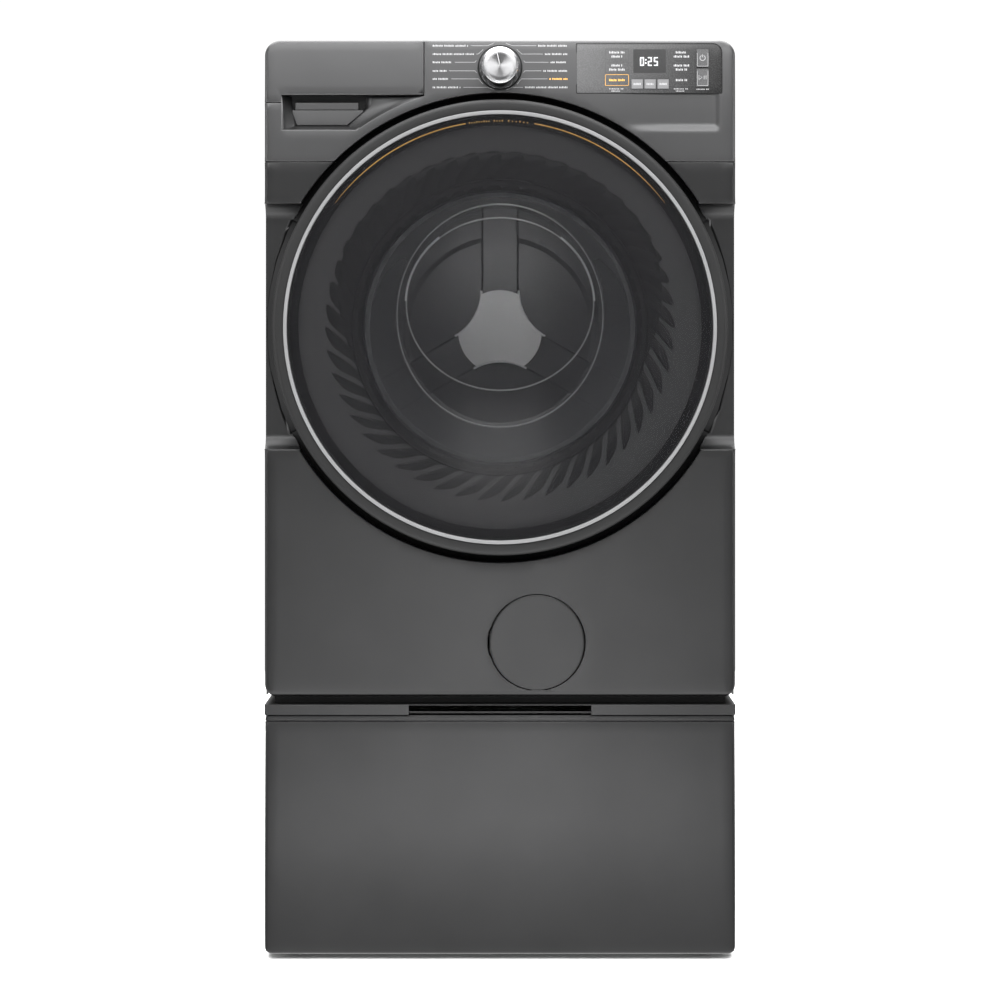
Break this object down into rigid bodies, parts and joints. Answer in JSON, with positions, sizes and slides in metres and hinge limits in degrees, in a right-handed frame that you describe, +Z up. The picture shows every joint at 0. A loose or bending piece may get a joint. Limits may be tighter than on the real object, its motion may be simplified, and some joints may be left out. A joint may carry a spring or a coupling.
{
  "type": "front load washing machine",
  "caption": "Front load washing machine with a round glass door, knob console and dispenser drawer, on a storage pedestal with a pull out drawer.",
  "frame": {"origin": "on the floor under the middle of the body, halfway between the front of the door and the rear water ports", "axes": "+X to the right seen from the front, -Y towards the front, +Z up"},
  "size_m": [0.686, 0.8, 1.34],
  "materials": {
    "graphite_paint": "satin metallic dark grey enamel",
    "console_plastic": "satin dark grey moulded plastic",
    "dark_plastic": "black moulded plastic",
    "door_plastic": "dark grey satin bezel",
    "overlay": "smooth dark touch overlay",
    "key_plastic": "grey keys",
    "galvanised_steel": "zinc coated steel",
    "stainless": "brushed stainless steel",
    "chrome_trim": "bright satin metal trim",
    "tinted_glass": "dark tinted door glass",
    "clear_glass": "clear bowl glass",
    "rubber_grey": "grey door seal and hoses",
    "rubber_black": "black rubber",
    "tub_plastic": "light filled polypropylene",
    "tray_plastic": "pale blue grey plastic",
    "concrete": "cast concrete",
    "cast_aluminium": "cast aluminium",
    "circuit_board": "green circuit board",
    "valve_plastic": "blue valve body"
  },
  "bodies": {
    "cabinet": {"cabinet_shell": "graphite_paint", "top_panel": "graphite_paint", "lower_front_panel": "graphite_paint", "console_fascia": "console_plastic", "touch_panel": "overlay", "control_board": "circuit_board", "rear_access_panel": "galvanised_steel", "cabinet_screws": "galvanised_steel", "base_pan": "dark_plastic", "door_lock": "dark_plastic", "door_hinge_bracket": "galvanised_steel", "dispenser_housing": "tub_plastic", "dispenser_hose": "rubber_black", "water_inlet_valve": "valve_plastic", "inlet_hoses": "rubber_grey", "drain_pump": "dark_plastic", "sump_hose": "rubber_black", "drain_hose": "rubber_grey", "power_inlet": "dark_plastic", "suspension_springs": "galvanised_steel", "damper_cylinders": "dark_plastic", "door_bellows": "rubber_grey", "pedestal_shell": "graphite_paint", "pedestal_feet": "rubber_black", "pedestal_outer_rails": "galvanised_steel"},
    "tub": {"tub_front": "tub_plastic", "tub_rear": "tub_plastic", "counterweights": "concrete", "tub_heater": "galvanised_steel", "tub_bearings": "galvanised_steel", "drive_motor": "cast_aluminium", "drive_belt": "rubber_black", "damper_rods": "galvanised_steel"},
    "drum": {"drum_shell": "stainless", "drum_back": "stainless", "drum_baffles": "dark_plastic", "drum_spider": "cast_aluminium", "drum_pulley": "cast_aluminium"},
    "motor_rotor": {"motor_pulley": "galvanised_steel"},
    "door": {"door_frame": "door_plastic", "door_trim_ring": "chrome_trim", "door_glass": "tinted_glass", "door_vane_ring": "door_plastic", "door_bowl": "clear_glass", "door_inner_frame": "dark_plastic", "door_hinge_pin": "galvanised_steel", "door_strike": "galvanised_steel"},
    "dispenser_drawer": {"dispenser_front": "console_plastic", "dispenser_tray": "tray_plastic"},
    "knob": {"cycle_knob": "chrome_trim"},
    "power_button": {"power_key": "overlay"},
    "start_button": {"start_key": "overlay"},
    "temperature_button": {"temperature_key": "key_plastic"},
    "spin_button": {"spin_key": "key_plastic"},
    "soil_button": {"soil_key": "key_plastic"},
    "filter_hatch": {"filter_cover": "graphite_paint"},
    "filter_plug": {"drain_filter": "dark_plastic"},
    "pedestal_drawer": {"pedestal_drawer_front": "graphite_paint", "pedestal_drawer_box": "galvanised_steel", "pedestal_inner_rails": "galvanised_steel"}
  },
  "joints": [
    {"name": "door_hinge", "type": "hinge", "parent": "cabinet", "child": "door", "pos_m": [-0.322, -0.372, 0.921], "axis": [0, 0, -1], "range_deg": [0, 105]},
    {"name": "tub_suspension", "type": "slide", "parent": "cabinet", "child": "tub", "axis": [0, 0, 1], "range_m": [-0.012, 0.012], "stiffness_N_per_m": 20000, "springref_m": 0.0208, "deforming": ["suspension_springs", "door_bellows", "dispenser_hose", "sump_hose"]},
    {"name": "drum_spin", "type": "hinge", "parent": "tub", "child": "drum", "pos_m": [0, 0, 0.921], "axis": [0, 1, 0], "continuous": true},
    {"name": "motor_spin", "type": "hinge", "parent": "tub", "child": "motor_rotor", "pos_m": [0.095, 0.29, 0.505], "axis": [0, 1, 0], "continuous": true},
    {"name": "dispenser_slide", "type": "slide", "parent": "cabinet", "child": "dispenser_drawer", "axis": [0, -1, 0], "range_m": [0, 0.2]},
    {"name": "knob_turn", "type": "hinge", "parent": "cabinet", "child": "knob", "pos_m": [0, -0.345, 1.3], "axis": [0, -1, 0], "continuous": true},
    {"name": "power_press", "type": "slide", "parent": "cabinet", "child": "power_button", "axis": [0, 1, 0], "range_m": [0, 0.0012], "stiffness_N_per_m": 400, "springref_m": -0.0015},
    {"name": "start_press", "type": "slide", "parent": "cabinet", "child": "start_button", "axis": [0, 1, 0], "range_m": [0, 0.0012], "stiffness_N_per_m": 400, "springref_m": -0.0015},
    {"name": "temperature_press", "type": "slide", "parent": "cabinet", "child": "temperature_button", "axis": [0, 1, 0], "range_m": [0, 0.0012], "stiffness_N_per_m": 400, "springref_m": -0.0015},
    {"name": "spin_press", "type": "slide", "parent": "cabinet", "child": "spin_button", "axis": [0, 1, 0], "range_m": [0, 0.0012], "stiffness_N_per_m": 400, "springref_m": -0.0015},
    {"name": "soil_press", "type": "slide", "parent": "cabinet", "child": "soil_button", "axis": [0, 1, 0], "range_m": [0, 0.0012], "stiffness_N_per_m": 400, "springref_m": -0.0015},
    {"name": "filter_cover_hinge", "type": "hinge", "parent": "cabinet", "child": "filter_hatch", "pos_m": [-0.0139, -0.3435, 0.4624], "axis": [0, 0, -1], "range_deg": [0, 95]},
    {"name": "drain_filter_turn", "type": "hinge", "parent": "cabinet", "child": "filter_plug", "pos_m": [0.054, -0.3, 0.4624], "axis": [0, 1, 0], "range_deg": [0, 90]},
    {"name": "pedestal_slide", "type": "slide", "parent": "cabinet", "child": "pedestal_drawer", "axis": [0, -1, 0], "range_m": [0, 0.4]}
  ],
  "couplings": [
    {"joint": "motor_spin", "follows": "drum_spin", "ratio": 10}
  ]
}
